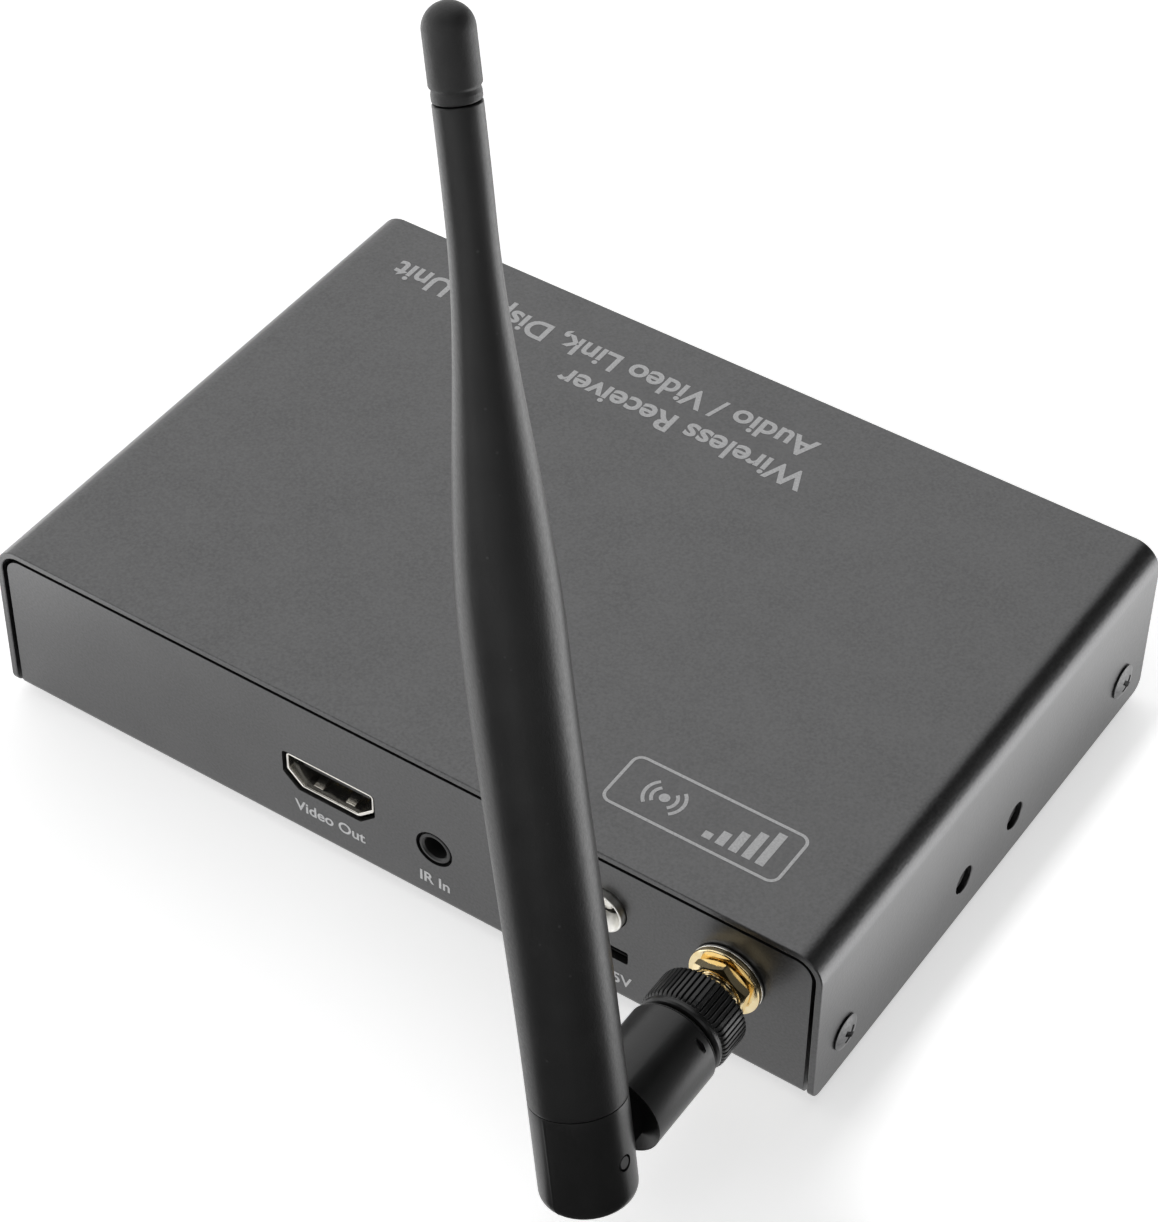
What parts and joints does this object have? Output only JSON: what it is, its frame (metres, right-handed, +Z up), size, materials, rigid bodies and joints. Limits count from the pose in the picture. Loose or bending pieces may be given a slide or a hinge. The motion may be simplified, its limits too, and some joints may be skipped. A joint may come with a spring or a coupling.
{
  "type": "wireless receiver unit",
  "caption": "Grey folded sheet-metal box with video, infrared and power sockets and a black whip antenna on a swivelling, folding elbow.",
  "frame": {"origin": "centre of the base tray's underside", "axes": "+X along the case's width, +Y out of the connector panel, +Z up"},
  "size_m": [0.1358, 0.1317, 0.152],
  "materials": {
    "case_paint": "fine-grained matt grey powder coat",
    "screw_black": "blackened steel",
    "knuckle_plastic": "semi-gloss black moulded",
    "whip_plastic": "satin black moulded",
    "cap_rubber": "soft matt black",
    "foot_rubber": "soft matt black",
    "gold_plate": "gold-plated, bright",
    "nickel_plate": "bright nickel",
    "plain_brass": "turned",
    "tinned_steel": "dull tin",
    "black_aluminium": "black anodised",
    "board_green": "solder resist over glass fibre board",
    "chip_black": "epoxy",
    "black_insulator": "moulded",
    "white_insulator": "moulded",
    "clear_plastic": "clear moulded acrylic"
  },
  "bodies": {
    "receiver_case": {"antenna_bulkhead": "gold_plate", "antenna_plug": "plain_brass", "base_tray": "case_paint", "board_screw_1": "screw_black", "board_screw_2": "screw_black", "board_screw_3": "screw_black", "board_screw_4": "screw_black", "board_standoff_1": "plain_brass", "board_standoff_2": "plain_brass", "board_standoff_3": "plain_brass", "board_standoff_4": "plain_brass", "bulkhead_nut": "gold_plate", "bulkhead_washer": "gold_plate", "coax_connector": "gold_plate", "coax_lead": "black_insulator", "connector_insulator": "white_insulator", "cover_screw_1": "screw_black", "cover_screw_2": "screw_black", "cover_screw_3": "screw_black", "cover_screw_4": "screw_black", "filter_capacitor_1": "chip_black", "filter_capacitor_2": "chip_black", "heat_sink": "black_aluminium", "indicator_lamp_1": "white_insulator", "indicator_lamp_2": "white_insulator", "inductor": "chip_black", "infrared_jack": "black_insulator", "light_pipe_1": "clear_plastic", "light_pipe_2": "clear_plastic", "lock_washer": "nickel_plate", "main_board": "board_green", "pairing_switch": "chip_black", "power_lead_1": "black_insulator", "power_lead_2": "black_insulator", "power_pin": "nickel_plate", "power_socket": "nickel_plate", "processor": "chip_black", "radio_board": "board_green", "radio_header": "black_insulator", "radio_shield": "tinned_steel", "rubber_foot_1": "foot_rubber", "rubber_foot_2": "foot_rubber", "rubber_foot_3": "foot_rubber", "rubber_foot_4": "foot_rubber", "service_port_shell": "nickel_plate", "service_port_tongue": "black_insulator", "top_cover": "case_paint", "video_shell": "nickel_plate", "video_tongue": "black_insulator"},
    "coupling_nut": {"coupling_nut": "knuckle_plastic"},
    "antenna_elbow": {"antenna_elbow": "knuckle_plastic", "hinge_pin": "knuckle_plastic"},
    "antenna_whip": {"whip_base": "knuckle_plastic", "whip_cover": "whip_plastic", "tip_cap": "cap_rubber", "radiator_rod": "plain_brass"},
    "pairing_button": {"pairing_button": "knuckle_plastic"}
  },
  "joints": [
    {"name": "coupling_nut_spin", "type": "hinge", "parent": "receiver_case", "child": "coupling_nut", "pos_m": [-0.0535, 0.054, 0.01595], "axis": [0, 1, 0], "continuous": true},
    {"name": "antenna_swivel", "type": "hinge", "parent": "receiver_case", "child": "antenna_elbow", "pos_m": [-0.0535, 0.0782, 0.01595], "axis": [0, 1, 0], "range_deg": [-106.2, 73.8]},
    {"name": "antenna_fold", "type": "hinge", "parent": "antenna_elbow", "child": "antenna_whip", "pos_m": [-0.0535, 0.0782, 0.01595], "axis": [0.9603, 0, -0.279], "range_deg": [-102, 0]},
    {"name": "pairing_button_press", "type": "slide", "parent": "receiver_case", "child": "pairing_button", "axis": [0, 1, 0], "range_m": [0, 0.0006], "stiffness_N_per_m": 400}
  ]
}
